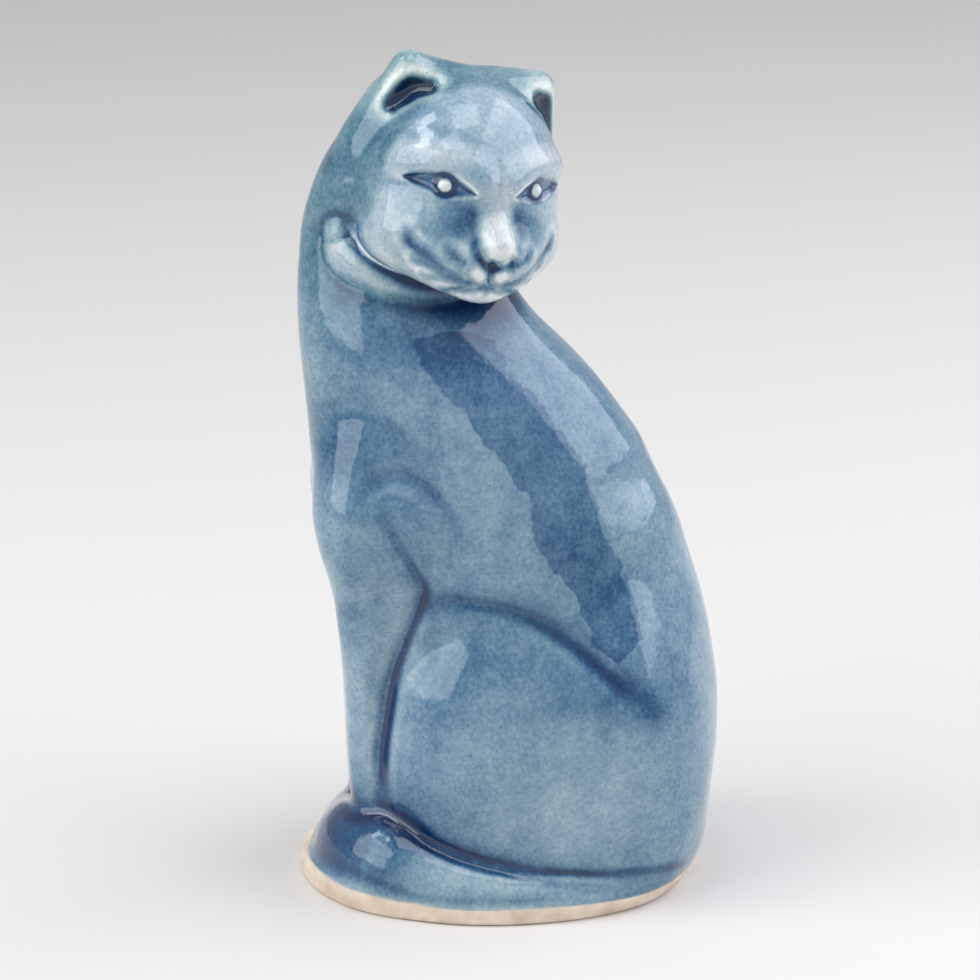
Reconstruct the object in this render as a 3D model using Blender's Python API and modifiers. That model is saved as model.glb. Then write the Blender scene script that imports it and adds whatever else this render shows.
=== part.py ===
"""A seated ceramic cat that looks over its left shoulder, as the clay parts it is put together from.

Metres, +Z up. The body faces -Y, and the origin is on the resting plane, under the middle of the figure.
"""

import math

import bmesh
import bpy
import numpy as np
from mathutils import Matrix, Vector

# Driving dimensions.
BODY_LENGTH = 0.0806
FOOT_WIDTH = 0.0628
NECK_HEIGHT = 0.116
FOOT_HEIGHT = 0.0034
FOOT_RIM_WIDTH = 0.008
RUMP_OVERHANG = 0.0053
FOOT_EDGE_ROUND = 0.0007
WALL = 0.004
FIT_GAP = 0.0003

HEAD_WIDTH = 0.0364
HEAD_HEIGHT = 0.0400
HEAD_DEPTH = 0.0380
HEAD_CENTRE_X = 0.003
HEAD_CENTRE_Y = -0.0095
HEAD_RISE = 0.0195
HEAD_TURN = math.radians(107.0)
HEAD_TILT = math.radians(7.5)
HEAD_NOD = math.radians(4.0)
UPPER_NECK_HEIGHT = 0.036

EAR_WIDTH = 0.0150
EAR_THICKNESS = 0.0084
EAR_HEIGHT = 0.0180
EAR_SPACING = 0.0222
EAR_ROOT_DEPTH = 0.0143
EAR_SPLAY = math.radians(8.0)
EAR_DISH_DEPTH = 0.0030

EYE_DIAMETER = 0.0048
EYE_ANGLE = math.radians(30.0)
EYE_LIFT = math.radians(9.0)

MUZZLE_WIDTH = 0.0200
MUZZLE_HEIGHT = 0.0170
MUZZLE_LENGTH = 0.0190
MUZZLE_PROUD = 0.0045
MUZZLE_DROP = 0.0085

HAUNCH_THICKNESS = 0.0260
HAUNCH_LENGTH = 0.0540
HAUNCH_HEIGHT = 0.0640
HAUNCH_CENTRE_Y = 0.0030
HAUNCH_CENTRE_HEIGHT = 0.0300
HAUNCH_SPREAD = 0.0600

FORELEG_WIDTH = 0.0160
FORELEG_HEIGHT = 0.0840
TAIL_THICKNESS = 0.0110
TAIL_HEIGHT = 0.0160
TAIL_SINK = 0.0010

# Shape of the torso: share of the neck height, then the chest, the back and the half-width,
# as shares of half the body length, half the body length and half the foot width.
TORSO_SHAPE = (
    (0.00, -0.520, 0.895, 0.820),
    (0.13, -0.520, 0.980, 0.850),
    (0.28, -0.520, 1.000, 0.850),
    (0.43, -0.540, 0.955, 0.810),
    (0.56, -0.660, 0.855, 0.750),
    (0.67, -0.865, 0.715, 0.690),
    (0.77, -0.930, 0.555, 0.655),
    (0.86, -0.955, 0.350, 0.600),
    (1.00, -0.965, 0.030, 0.540),
)

# Shape of the upper neck: share of its height, then the throat, the nape and the half-width.
NECK_SHAPE = (
    (0.00, -0.965, 0.030, 0.540),
    (0.25, -0.955, 0.000, 0.510),
    (0.50, -0.900, -0.050, 0.450),
    (0.75, -0.780, -0.120, 0.370),
    (0.92, -0.690, -0.250, 0.250),
    (1.00, -0.600, -0.360, 0.120),
)

# Shape of a foreleg: share of its height, then the front and the back as shares of half the body
# length, and the half-width as a share of half the foreleg width.
FORELEG_SHAPE = (
    (0.00, -0.805, -0.590, 0.80),
    (0.10, -0.785, -0.600, 0.80),
    (0.35, -0.795, -0.600, 0.78),
    (0.60, -0.815, -0.520, 0.90),
    (0.76, -0.840, -0.400, 1.00),
    (0.90, -0.865, -0.420, 1.00),
    (1.00, -0.880, -0.560, 0.80),
)

# The tail from its root, at the back of the far side, to its tip: angle round the foot from the
# front, then the share of the tail's height and the share of its thickness.
TAIL_SHAPE = (
    (-140.0, 0.45, 0.85),
    (-110.0, 0.52, 0.95),
    (-70.0, 0.55, 1.00),
    (-30.0, 0.57, 1.00),
    (0.0, 0.74, 1.00),
    (17.0, 1.00, 1.00),
    (35.0, 0.97, 1.00),
    (50.0, 0.76, 0.94),
    (68.0, 0.49, 0.84),
    (93.0, 0.28, 0.70),
    (120.0, 0.14, 0.50),
)

HALF_LENGTH = BODY_LENGTH / 2
HALF_WIDTH = FOOT_WIDTH / 2
FOOT_FRONT = -HALF_LENGTH
FOOT_BACK = HALF_LENGTH - RUMP_OVERHANG
SEAT = FOOT_HEIGHT + FIT_GAP
HEAD_CENTRE = Vector((HEAD_CENTRE_X, HEAD_CENTRE_Y, NECK_HEIGHT + HEAD_RISE))
HEAD_FRAME = (
    Matrix.Rotation(HEAD_TURN, 4, "Z")
    @ Matrix.Rotation(HEAD_TILT, 4, "Y")
    @ Matrix.Rotation(HEAD_NOD, 4, "X")
)
FAR = 0.5


def clear_scene():
    for existing in list(bpy.data.objects):
        bpy.data.objects.remove(existing)


def new_collection(name):
    collection = bpy.data.collections.new(name)
    bpy.context.scene.collection.children.link(collection)
    return collection


def glaze_material(name, colour, roughness):
    material = bpy.data.materials.new(name)
    material.use_nodes = True
    shader = material.node_tree.nodes["Principled BSDF"]
    shader.inputs["Base Color"].default_value = (*colour, 1.0)
    shader.inputs["Roughness"].default_value = roughness
    shader.inputs["Metallic"].default_value = 0.0
    return material


def add_object(name, mesh, collection):
    made = bpy.data.objects.new(name, mesh)
    collection.objects.link(made)
    return made


def make_cutter(cutter):
    cutter.hide_render = True
    cutter.display_type = "WIRE"
    return cutter


def boolean(target, tool, operation):
    modifier = target.modifiers.new(operation.lower() + "_" + tool.name, "BOOLEAN")
    modifier.operation = operation
    modifier.solver = "EXACT"
    modifier.object = tool


def interpolated(rows, column, at):
    """A smooth value between the stations of a shape table, by cubic Hermite pieces."""
    stations = np.array([row[0] for row in rows])
    values = np.array([row[column] for row in rows])
    slopes = np.gradient(values, stations)
    index = int(np.clip(np.searchsorted(stations, at) - 1, 0, len(rows) - 2))
    span = stations[index + 1] - stations[index]
    t = (at - stations[index]) / span
    start = (1 + 2 * t) * (1 - t) ** 2 * values[index] + t * (1 - t) ** 2 * span * slopes[index]
    end = t * t * (3 - 2 * t) * values[index + 1] + t * t * (t - 1) * span * slopes[index + 1]
    return start + end


def oval_ring(centre, across, along, half_across, half_along, count):
    """Points of an oval round centre, in the plane of the directions across and along."""
    points = []
    for step in range(count):
        angle = 2 * math.pi * step / count
        offset = across * half_across * math.cos(angle) + along * half_along * math.sin(angle)
        points.append(centre + offset)
    return points


def loft(name, rings, collection):
    """A closed body through rings of equal count, with a flat end at each side."""
    shape = bmesh.new()
    rows = [[shape.verts.new(point) for point in ring] for ring in rings]
    for lower, upper in zip(rows, rows[1:]):
        for index in range(len(lower)):
            after = (index + 1) % len(lower)
            shape.faces.new((lower[index], lower[after], upper[after], upper[index]))
    shape.faces.new(reversed(rows[0]))
    shape.faces.new(rows[-1])
    bmesh.ops.recalc_face_normals(shape, faces=shape.faces)
    mesh = bpy.data.meshes.new(name)
    shape.to_mesh(mesh)
    shape.free()
    mesh.shade_smooth()
    mesh.set_sharp_from_angle(angle=math.radians(40.0))
    return add_object(name, mesh, collection)


def ellipsoid(name, frame, radii, collection, segments=24, rings=14):
    shape = bmesh.new()
    bmesh.ops.create_uvsphere(shape, u_segments=segments, v_segments=rings, radius=1.0)
    bmesh.ops.transform(shape, matrix=frame @ Matrix.Diagonal((*radii, 1.0)), verts=shape.verts)
    mesh = bpy.data.meshes.new(name)
    shape.to_mesh(mesh)
    shape.free()
    mesh.shade_smooth()
    return add_object(name, mesh, collection)


def block(name, low, high, collection):
    shape = bmesh.new()
    bmesh.ops.create_cube(shape, size=1.0)
    size = Vector(high) - Vector(low)
    frame = Matrix.Translation((Vector(high) + Vector(low)) / 2) @ Matrix.Diagonal((*size, 1.0))
    bmesh.ops.transform(shape, matrix=frame, verts=shape.verts)
    mesh = bpy.data.meshes.new(name)
    shape.to_mesh(mesh)
    shape.free()
    return add_object(name, mesh, collection)


def levels(bottom, top, height, count):
    """Heights from bottom to top, at both ends and at each of count equal steps between."""
    steps = [height * step / count for step in range(count + 1)]
    least = height / count / 4
    between = [step for step in steps if bottom + least < step < top - least]
    return [bottom, *between, top]


def section(rows, share, level, inset):
    """The oval of the torso or neck at a share of its height, drawn in by inset."""
    front = interpolated(rows, 1, share) * HALF_LENGTH + inset
    back = interpolated(rows, 2, share) * HALF_LENGTH - inset
    half_width = interpolated(rows, 3, share) * HALF_WIDTH - inset
    centre = Vector((0.0, (front + back) / 2, level))
    return oval_ring(centre, Vector((1, 0, 0)), Vector((0, 1, 0)), half_width, (back - front) / 2, 32)


def torso_loft(name, inset, collection, bottom, top):
    """The torso from bottom to top. Past its own ends, the end section goes straight on."""
    rings = []
    for level in levels(bottom, top, NECK_HEIGHT, 18):
        share = min(max(level / NECK_HEIGHT, 0.0), 1.0)
        rings.append(section(TORSO_SHAPE, share, level, inset))
    return loft(name, rings, collection)


def neck_loft(name, inset, collection, bottom):
    """The upper neck, which runs up into the back of the head."""
    rings = []
    least = 0.001
    for level in levels(bottom - NECK_HEIGHT, UPPER_NECK_HEIGHT - inset, UPPER_NECK_HEIGHT, 8):
        share = min(max(level / UPPER_NECK_HEIGHT, 0.0), 1.0)
        if interpolated(NECK_SHAPE, 3, share) * HALF_WIDTH - inset > least:
            rings.append(section(NECK_SHAPE, share, NECK_HEIGHT + level, inset))
    return loft(name, rings, collection)


def head_place(offset, turn=0.0):
    """The head's frame, moved by offset in head directions: +X its left, -Y its face."""
    frame = Matrix.Translation(HEAD_CENTRE) @ HEAD_FRAME @ Matrix.Translation(offset)
    return frame @ Matrix.Rotation(turn, 4, "Y")


def foot_radius(angle):
    """Distance from the foot's centre to its outer edge. Angle 0 points at the front."""
    half_length = (FOOT_BACK - FOOT_FRONT) / 2
    return 1 / math.hypot(math.cos(angle) / half_length, math.sin(angle) / HALF_WIDTH)


def foot_point(angle, inset):
    centre_y = (FOOT_BACK + FOOT_FRONT) / 2
    reach = foot_radius(angle) - inset
    return Vector((reach * math.sin(angle), centre_y - reach * math.cos(angle), 0.0))


def foot_ring_piece(pieces, cutters):
    count = 56
    angles = [2 * math.pi * step / count for step in range(count)]
    heights = (0.0, FOOT_HEIGHT)
    outer = [[foot_point(angle, 0.0) + Vector((0, 0, z)) for angle in angles] for z in heights]
    ring = loft("foot_ring", outer, pieces)
    through = (-WALL, FOOT_HEIGHT + WALL)
    inner = [[foot_point(angle, FOOT_RIM_WIDTH) + Vector((0, 0, z)) for angle in angles] for z in through]
    hole = make_cutter(loft("foot_opening", inner, cutters))
    edge = ring.modifiers.new("edge", "BEVEL")
    edge.width = FOOT_EDGE_ROUND
    edge.segments = 1
    edge.limit_method = "ANGLE"
    boolean(ring, hole, "DIFFERENCE")
    return ring


def haunch(name, side, grow, cutters):
    out = side * (HAUNCH_SPREAD - HAUNCH_THICKNESS) / 2
    centre = Vector((out, HAUNCH_CENTRE_Y, HAUNCH_CENTRE_HEIGHT))
    radii = (HAUNCH_THICKNESS / 2 + grow, HAUNCH_LENGTH / 2 + grow, HAUNCH_HEIGHT / 2 + grow)
    return make_cutter(ellipsoid(name, Matrix.Translation(centre), radii, cutters))


def body_casting_piece(pieces, cutters, floor):
    body = torso_loft("body_casting", 0.0, pieces, SEAT, NECK_HEIGHT)
    for side, label in ((1, "left"), (-1, "right")):
        boolean(body, haunch(label + "_haunch", side, 0.0, cutters), "UNION")
    boolean(body, floor, "DIFFERENCE")
    hollow = torso_loft("body_hollow", WALL, cutters, -WALL, NECK_HEIGHT + WALL)
    boolean(body, make_cutter(hollow), "DIFFERENCE")
    return body


def body_clearance(cutters):
    """The torso and haunches grown by the fit gap, which the pieces luted to them are cut by."""
    grown = make_cutter(torso_loft("body_clearance", -FIT_GAP, cutters, -WALL, NECK_HEIGHT + WALL))
    for side, label in ((1, "left"), (-1, "right")):
        boolean(grown, haunch(label + "_haunch_clearance", side, FIT_GAP, cutters), "UNION")
    return grown


def head_solid(name, grow, collection, cutters):
    """The head's outside: the skull, the muzzle and the upper neck behind them."""
    skull = (HEAD_WIDTH / 2 + grow, HEAD_DEPTH / 2 + grow, HEAD_HEIGHT / 2 + grow)
    head = ellipsoid(name, head_place((0, 0, 0)), skull, collection, segments=32, rings=20)
    neck = neck_loft(name + "_neck", -grow, cutters, NECK_HEIGHT + FIT_GAP)
    boolean(head, make_cutter(neck), "UNION")
    reach = HEAD_DEPTH / 2 + MUZZLE_PROUD - MUZZLE_LENGTH / 2
    muzzle_size = (MUZZLE_WIDTH / 2 + grow, MUZZLE_LENGTH / 2 + grow, MUZZLE_HEIGHT / 2 + grow)
    muzzle = ellipsoid(name + "_muzzle", head_place((0, -reach, -MUZZLE_DROP)), muzzle_size, cutters)
    boolean(head, make_cutter(muzzle), "UNION")
    return head


def eye_frame(side):
    """Where an eye's centre is: a little under the skull's surface."""
    sink = 0.35 * EYE_DIAMETER
    width = HEAD_WIDTH / 2 - sink
    depth = HEAD_DEPTH / 2 - sink
    height = HEAD_HEIGHT / 2 - sink
    return head_place(
        (
            side * width * math.sin(EYE_ANGLE) * math.cos(EYE_LIFT),
            -depth * math.cos(EYE_ANGLE) * math.cos(EYE_LIFT),
            height * math.sin(EYE_LIFT),
        )
    )


def head_casting_piece(pieces, cutters, below_head):
    head = head_solid("head_casting", 0.0, pieces, cutters)
    boolean(head, below_head, "DIFFERENCE")
    inside = (HEAD_WIDTH / 2 - WALL, HEAD_DEPTH / 2 - WALL, HEAD_HEIGHT / 2 - WALL)
    skull_hollow = ellipsoid("skull_hollow", head_place((0, 0, 0)), inside, cutters)
    boolean(head, make_cutter(skull_hollow), "DIFFERENCE")
    boolean(head, make_cutter(neck_loft("neck_hollow", WALL, cutters, NECK_HEIGHT - WALL)), "DIFFERENCE")
    for side, label in ((1, "left"), (-1, "right")):
        socket_radius = EYE_DIAMETER / 2 + FIT_GAP
        socket = ellipsoid(label + "_socket", eye_frame(side), (socket_radius,) * 3, cutters, 14, 9)
        boolean(head, make_cutter(socket), "DIFFERENCE")
    return head


def eye_piece(name, side, pieces):
    return ellipsoid(name, eye_frame(side), (EYE_DIAMETER / 2,) * 3, pieces, 14, 9)


def ear_piece(name, side, pieces, cutters, head_clearance):
    """A leaf of clay with a dish pressed into its front, stood on the skull."""
    rise = HEAD_HEIGHT / 2 - EAR_ROOT_DEPTH + EAR_HEIGHT / 2
    frame = head_place((side * EAR_SPACING / 2, 0.0, rise), side * EAR_SPLAY)
    radii = (EAR_WIDTH / 2, EAR_THICKNESS / 2, EAR_HEIGHT / 2)
    ear = ellipsoid(name, frame, radii, pieces, 20, 14)
    dish_frame = frame @ Matrix.Translation((0, -EAR_THICKNESS / 2 - EAR_THICKNESS / 4 + EAR_DISH_DEPTH, 0))
    dish_radii = (0.36 * EAR_WIDTH, EAR_THICKNESS / 4 + EAR_DISH_DEPTH / 2, 0.36 * EAR_HEIGHT)
    dish = ellipsoid(name + "_dish", dish_frame, dish_radii, cutters, 16, 10)
    boolean(ear, make_cutter(dish), "DIFFERENCE")
    boolean(ear, head_clearance, "DIFFERENCE")
    return ear


def foreleg_loft(name, side, grow, collection, bottom):
    rings = []
    centre_x = side * (FORELEG_WIDTH / 2 + FIT_GAP)
    for level in levels(bottom, FORELEG_HEIGHT + grow, FORELEG_HEIGHT, 11):
        share = min(max(level / FORELEG_HEIGHT, 0.0), 1.0)
        front = interpolated(FORELEG_SHAPE, 1, share) * HALF_LENGTH - grow
        back = interpolated(FORELEG_SHAPE, 2, share) * HALF_LENGTH + grow
        half_width = interpolated(FORELEG_SHAPE, 3, share) * FORELEG_WIDTH / 2 + grow
        centre = Vector((centre_x, (front + back) / 2, level))
        along = (back - front) / 2
        rings.append(oval_ring(centre, Vector((1, 0, 0)), Vector((0, 1, 0)), half_width, along, 20))
    return loft(name, rings, collection)


def foreleg_piece(name, side, pieces, cutters, clearance):
    leg = foreleg_loft(name, side, 0.0, pieces, SEAT)
    boolean(leg, clearance, "DIFFERENCE")
    past_middle = sorted((side * FIT_GAP / 2, -side * FAR))
    half = block(name + "_half", (past_middle[0], -FAR, -FAR), (past_middle[1], FAR, FAR), cutters)
    boolean(leg, make_cutter(half), "DIFFERENCE")
    return leg


def tail_piece(pieces, cutters, clearance, floor):
    rings = []
    count = 34
    first, last = TAIL_SHAPE[0][0], TAIL_SHAPE[-1][0]
    for step in range(count + 1):
        degrees = first + (last - first) * step / count
        angle = math.radians(degrees)
        half_height = interpolated(TAIL_SHAPE, 1, degrees) * TAIL_HEIGHT / 2
        half_depth = interpolated(TAIL_SHAPE, 2, degrees) * TAIL_THICKNESS / 2
        centre = foot_point(angle, half_depth) + Vector((0, 0, SEAT - TAIL_SINK + half_height))
        ahead = foot_point(angle + 0.01, half_depth) - foot_point(angle - 0.01, half_depth)
        across = Vector((ahead.y, -ahead.x, 0.0)).normalized()
        rings.append(oval_ring(centre, across, Vector((0, 0, 1)), half_depth, half_height, 16))
    tail = loft("tail", rings, pieces)
    boolean(tail, clearance, "DIFFERENCE")
    for side, label in ((1, "left"), (-1, "right")):
        leg = foreleg_loft(label + "_foreleg_clearance", side, FIT_GAP, cutters, -WALL)
        boolean(tail, make_cutter(leg), "DIFFERENCE")
    boolean(tail, floor, "DIFFERENCE")
    return tail


def main():
    clear_scene()
    pieces = new_collection("ceramic_cat_figurine")
    cutters = new_collection("cutters")
    floor = make_cutter(block("under_seat", (-FAR, -FAR, -FAR), (FAR, FAR, SEAT), cutters))
    below_head = make_cutter(
        block("under_head", (-FAR, -FAR, -FAR), (FAR, FAR, NECK_HEIGHT + FIT_GAP), cutters)
    )
    clearance = body_clearance(cutters)
    head_clearance = make_cutter(head_solid("head_clearance", FIT_GAP, cutters, cutters))

    blue = (0.16, 0.27, 0.36)
    pale = (0.42, 0.52, 0.60)
    deep = (0.06, 0.15, 0.26)
    made = [
        (foot_ring_piece(pieces, cutters), "bare_clay", (0.70, 0.56, 0.46), 0.75),
        (body_casting_piece(pieces, cutters, floor), "body_glaze", blue, 0.18),
        (head_casting_piece(pieces, cutters, below_head), "head_glaze", pale, 0.18),
        (tail_piece(pieces, cutters, clearance, floor), "tail_glaze", deep, 0.12),
    ]
    for side, label in ((1, "left"), (-1, "right")):
        ear = ear_piece(label + "_ear", side, pieces, cutters, head_clearance)
        made.append((ear, label + "_ear_glaze", pale, 0.18))
        made.append((eye_piece(label + "_eye", side, pieces), label + "_eye_glaze", deep, 0.12))
        leg = foreleg_piece(label + "_foreleg", side, pieces, cutters, clearance)
        made.append((leg, label + "_foreleg_glaze", blue, 0.18))
    for piece, name, colour, roughness in made:
        piece.data.materials.append(glaze_material(name, colour, roughness))


main()
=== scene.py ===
"""The looks of a seated ceramic cat: one hollow cast figure under a pooled blue glaze.

The whole figure is described once, as a distance field in millimetres. It is meshed, cut along the joins
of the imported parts, and each part becomes a closed shell that stands for its CAD node.
"""
import math

import bpy
import numpy as np
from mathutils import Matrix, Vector


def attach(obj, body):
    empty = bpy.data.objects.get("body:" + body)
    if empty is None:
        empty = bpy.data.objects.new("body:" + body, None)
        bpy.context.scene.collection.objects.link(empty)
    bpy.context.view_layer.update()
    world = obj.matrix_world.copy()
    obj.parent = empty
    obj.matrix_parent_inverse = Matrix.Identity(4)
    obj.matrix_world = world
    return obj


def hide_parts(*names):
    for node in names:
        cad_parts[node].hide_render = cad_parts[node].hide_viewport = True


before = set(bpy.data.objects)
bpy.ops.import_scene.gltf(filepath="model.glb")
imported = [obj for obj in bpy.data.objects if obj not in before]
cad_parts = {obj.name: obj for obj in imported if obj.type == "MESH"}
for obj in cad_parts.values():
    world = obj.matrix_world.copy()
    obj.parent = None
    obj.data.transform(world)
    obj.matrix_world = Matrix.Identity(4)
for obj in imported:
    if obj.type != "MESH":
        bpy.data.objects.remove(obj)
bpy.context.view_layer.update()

MM = 0.001
FAR = 60.0

# ---------------------------------------------------------------- field tools (millimetres)


def smin(a, b, k):
    """The nearer of two surfaces, filleted over k."""
    h = np.maximum(k - np.abs(a - b), 0.0) / k
    return np.minimum(a, b) - h * h * k * 0.25


def smax(a, b, k):
    """The farther of two surfaces, filleted over k."""
    return -smin(-a, -b, k)


def fade(x, low, high):
    """0 up to low, 1 from high on, and a smooth rise between."""
    t = np.clip((x - low) / (high - low), 0.0, 1.0)
    return t * t * (3.0 - 2.0 * t)


def mirrored(p):
    """The points with both sides folded onto the left one."""
    return np.column_stack([np.abs(p[:, 0]), p[:, 1:]])


def ellipsoid(p, centre, radii):
    """Distance to an egg shape, near enough."""
    q = (p - np.array(centre)) / np.array(radii)
    near = np.linalg.norm(q, axis=-1)
    slope = np.linalg.norm(q / np.array(radii), axis=-1)
    return near * (near - 1.0) / np.maximum(slope, 1e-6)


def on_curve(points, t):
    """Places and directions on the smooth curve through the points; t counts the points."""
    c = np.array(points, float)
    ends = np.vstack([2 * c[0] - c[1], c, 2 * c[-1] - c[-2]])
    i = np.clip(t.astype(int), 0, len(c) - 2)
    u = (t - i)[:, None]
    a, b, d, e = ends[i], ends[i + 1], ends[i + 2], ends[i + 3]
    one, two, three = d - a, 2 * a - 5 * b + 4 * d - e, 3 * b - a - 3 * d + e
    place = .5 * (2 * b + one * u + two * u ** 2 + three * u ** 3)
    way = .5 * (one + 2 * two * u + 3 * three * u ** 2)
    return place, way


def smooth_line(points, per_span=4):
    """More points along the smooth curve through these."""
    spans = len(points) - 1
    return on_curve(points, np.arange(spans * per_span + 1) / per_span)[0]


def along(p, line):
    """Distance from each point to a polyline, and the share of the way along it."""
    best = np.full(len(p), np.inf)
    where = np.zeros(len(p))
    spans = len(line) - 1
    for i in range(spans):
        a, b = line[i], line[i + 1]
        ab = b - a
        t = np.clip((p - a) @ ab / max(ab @ ab, 1e-9), 0.0, 1.0)
        d = ((p - a - t[:, None] * ab) ** 2).sum(1)
        closer = d < best
        best[closer] = d[closer]
        where[closer] = (i + t[closer]) / spans
    return np.sqrt(best), where


def tube(p, points):
    """A round limb through (x, y, z, radius) points."""
    halves = 2
    line = smooth_line(points, halves)
    best = np.full(len(p), FAR ** 2)
    t = np.zeros(len(p))
    for i, (a, b) in enumerate(zip(line[:-1], line[1:])):
        ab = b - a
        share = np.clip((p - a[:3]) @ ab[:3] / max(ab[:3] @ ab[:3], 1e-9), 0.0, 1.0)
        d = np.linalg.norm(p - a[:3] - share[:, None] * ab[:3], axis=1) - (a[3] + share * ab[3])
        closer = d < best
        best[closer] = d[closer]
        t[closer] = (i + share[closer]) / halves
    for _ in range(3):
        place, way = on_curve(points, t)
        step = ((p - place[:, :3]) * way[:, :3]).sum(1) / np.maximum((way[:, :3] ** 2).sum(1), 1e-6)
        t = np.clip(t + np.clip(step, -.3, .3), 0, len(points) - 1)
    place, _ = on_curve(points, t)
    return np.linalg.norm(p - place[:, :3], axis=1) - place[:, 3]


def section_field(p, table):
    """A column of oval sections: height, front, back, half-width, centre x, and where it is widest."""
    rows = smooth_line(table, 12)
    height = rows[:, 0]

    def share(z):
        front, back, half, centre, widest = (np.interp(z, height, rows[:, i]) for i in range(1, 6))
        middle = front + (back - front) * widest
        dy = p[:, 1] - middle
        reach = np.where(dy < 0, middle - front, back - middle)
        u, v = (p[:, 0] - centre) / half, dy / reach
        q = np.sqrt(u * u + v * v) + 1e-9
        return q, np.sqrt((u / half) ** 2 + (v / reach) ** 2) / q

    z = np.clip(p[:, 2], height[0], height[-1])
    q, flat_slope = share(z)
    above, below = (share(np.clip(z + step, height[0], height[-1]))[0] for step in (1.0, -1.0))
    rise = np.minimum(np.abs(above - below) / 2, flat_slope)
    side = (q - 1.0) / np.maximum(np.sqrt(flat_slope ** 2 + rise ** 2), 1e-6)
    return smax(side, np.maximum(p[:, 2] - height[-1], height[0] - p[:, 2]), 1.5)


def dent(p, points, width, depth, ends=0.15):
    """How far a groove along this line sinks the surface, fading out towards both ends."""
    line = smooth_line(points)
    d, where = along(p, line)
    taper = fade(where, 0.0, ends) * fade(1.0 - where, 0.0, ends)
    return depth * np.exp(-(d / width) ** 2) * taper


def turn(axis, degrees):
    """The matrix of a turn about one axis."""
    a = math.radians(degrees)
    c, s = math.cos(a), math.sin(a)
    x, y = [(1, 2), (2, 0), (0, 1)][axis]
    m = np.eye(3)
    m[x, x] = m[y, y] = c
    m[x, y], m[y, x] = -s, s
    return m


# ---------------------------------------------------------------- the body

# height, front, back, half-width, centre x, widest (share of the way from front to back)
TORSO = (
    (0, -24, 34, 23, 0, .50), (5, -24, 37.6, 25.5, 0, .52), (12.6, -24, 38.7, 27, 0, .55),
    (19, -24, 39.5, 27.6, 0, .57),
    (26, -24, 40.2, 27.8, 0, .58), (32, -24.5, 40.3, 27.5, 0, .58), (38, -25, 40.1, 27, 0, .58),
    (44.5, -26, 39.2, 26.2, 0, .57), (50, -27.5, 38.2, 25.3, 0, .56), (56, -29.5, 36.6, 24.4, 0, .55),
    (62, -31.5, 34.7, 23.7, 0, .54), (69, -33.6, 32.7, 23.0, 0, .53), (74, -35, 30.7, 22.6, 0, .52),
    (80, -36.2, 27.6, 22.0, 0, .51), (86, -37, 24.8, 21.4, 0, .5), (91.6, -37.6, 21, 20.8, 0, .49),
    (96.5, -38.1, 17.2, 20.1, 0, .48), (101, -38.5, 13.4, 19.4, 0, .47), (105, -38.8, 9.6, 18.5, -.2, .46),
    (109.6, -39, 5.0, 17.2, -.7, .46), (115, -39, 1.0, 15.6, -1.6, .46), (120, -38.7, -1, 13.8, -3, .46),
    (126, -38.1, -3, 12.2, -4.2, .47), (131.6, -36.7, -4, 13.2, -3.4, .48), (138, -34.1, -4, 13.6, -2.8, .5),
    (143.6, -30.7, -6, 12.2, -2.6, .5), (148, -27.8, -8, 9.5, -2.6, .5), (152, -25, -12, 6, -3, .5),
    (155.5, -21, -15, 2, -3.5, .5),
)
LEG = (
    (3, -30.2, -21.5, 7.6, 8.0, .5), (9, -30.6, -23.5, 6.8, 8.0, .5), (15, -30.3, -24.3, 6.6, 8.0, .5),
    (22, -30.7, -24.8, 6.4, 8.1, .5), (30, -31.1, -24.6, 6.6, 8.3, .5), (40, -31.6, -23.4, 7.0, 8.7, .5),
    (50, -32.4, -21.2, 7.6, 9.2, .5), (58, -33.2, -18.6, 8.3, 9.8, .5), (64, -33.9, -17.4, 8.9, 10.4, .5),
    (70, -34.9, -18.0, 9.4, 10.8, .5), (76, -35.6, -19.5, 9.2, 11.0, .5), (84, -34.6, -21, 7.9, 10.2, .5),
    (90, -32.2, -22, 6.4, 9.4, .5), (96, -29, -23, 4.2, 8.6, .5), (101, -26, -24, 1.5, 8, .5),
)
BELLY = ((9.2, -19.6, 2, 8.3), (9.2, -19.3, 26, 8.3), (9.0, -18, 50, 8.1), (8, -16, 66, 7.6))
HAUNCH_CENTRE, HAUNCH_RADII = (15.6, 3.5, 28.5), (14.2, 27.5, 32.0)
SHOULDER_CENTRE, SHOULDER_RADII = (13.2, -21.5, 72.5), (8.4, 12.2, 12.2)
TAIL = (
    (-12, 31, 3.2, 2.4), (-20, 25.5, 3.6, 3.3), (-25.6, 13, 3.8, 3.9), (-26.6, -4, 4.2, 4.4),
    (-24, -17, 4.6, 5.0), (-14, -26.5, 5.4, 6.2),
    (0, -28.6, 6.4, 8.2), (9, -27.0, 7.6, 9.8), (16.8, -22.6, 7.8, 9.4), (21.6, -16, 6.2, 7.6),
    (24.9, -8.5, 4.9, 6.0),
    (26.2, 1, 4.2, 4.9), (25.8, 11, 4.0, 4.5), (22.8, 20, 3.8, 4.2), (17.5, 26.5, 3.6, 3.6),
    (11, 30, 3.2, 2.8),
)
# The foot: an oval ring with an open bore, its top where the glaze begins.
FOOT_TOP = 3.4
FOOT_CENTRE_Y, FOOT_HALF_LENGTH, FOOT_HALF_WIDTH, FOOT_RIM = -2.6, 37.4, 31.1, 8.0

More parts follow.
